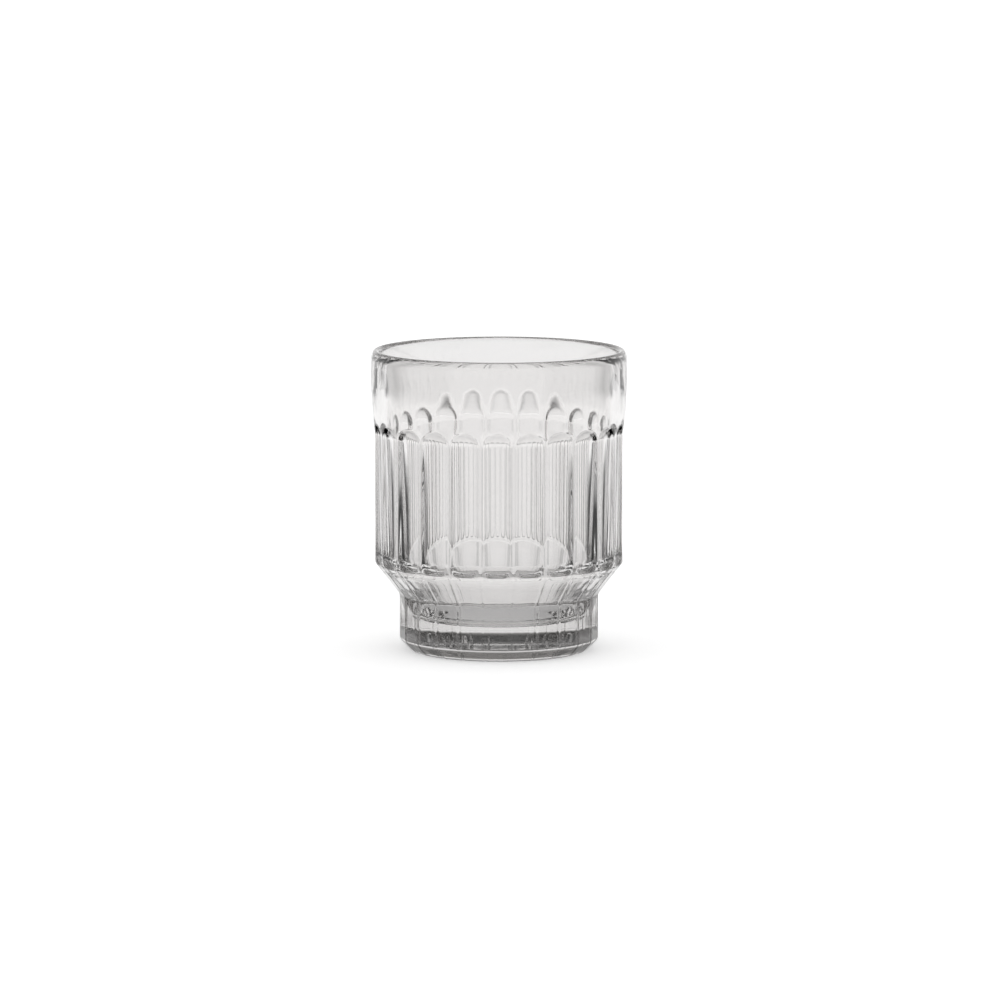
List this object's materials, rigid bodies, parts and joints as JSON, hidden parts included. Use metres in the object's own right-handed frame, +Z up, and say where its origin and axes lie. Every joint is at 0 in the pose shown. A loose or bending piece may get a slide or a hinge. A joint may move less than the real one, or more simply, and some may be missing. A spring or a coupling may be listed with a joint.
{
  "type": "whiskey tumbler",
  "caption": "Straight fluted drinking glass with a smooth rim band, a sloping shoulder, a narrower panelled foot, a funnel-shaped inside and a thick solid base.",
  "frame": {"origin": "centre of the underside, on the plane the glass stands on", "axes": "+Z up along the glass's own axis, towards the rim; -Y through the middle of one flute"},
  "size_m": [0.0848, 0.0848, 0.1],
  "materials": {
    "smoke_glass": "clear, very pale smoke-grey pressed soda-lime glass, fire-polished"
  },
  "bodies": {
    "root": {"glass_body": "smoke_glass"}
  },
  "joints": []
}
